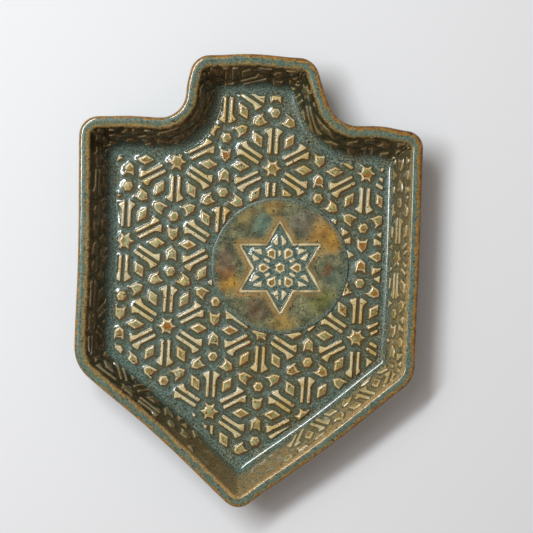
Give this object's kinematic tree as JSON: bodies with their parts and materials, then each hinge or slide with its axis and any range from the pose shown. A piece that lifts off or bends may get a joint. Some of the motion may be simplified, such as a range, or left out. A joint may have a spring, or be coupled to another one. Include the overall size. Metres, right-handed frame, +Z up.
{
  "type": "serving dish",
  "caption": "Slab-built glazed stoneware serving dish shaped like a spinning top, with leaning walls, a raised geometric pattern on its floor and walls, and a star medallion.",
  "frame": {"origin": "on the table, under the middle of the rim's bounding box", "axes": "+Y towards the stem end of the spinning-top outline, +X to the right seen from above, +Z up"},
  "size_m": [0.1758, 0.23, 0.027],
  "materials": {
    "floor_glaze": "glossy grey-green glaze that breaks cream on raised edges",
    "wall_glaze": "glossy olive-brown glaze with a grey-green rim and ochre edges",
    "medallion_glaze": "glossy mottled green and amber glaze with dark specks"
  },
  "bodies": {
    "root": {"floor_slab": "floor_glaze", "wall_head_top": "wall_glaze", "wall_neck_left": "wall_glaze", "wall_neck_right": "wall_glaze", "wall_side_left": "wall_glaze", "wall_side_right": "wall_glaze", "wall_point_left": "wall_glaze", "wall_point_right": "wall_glaze", "seam_coil": "floor_glaze", "star_medallion": "medallion_glaze"}
  },
  "joints": []
}
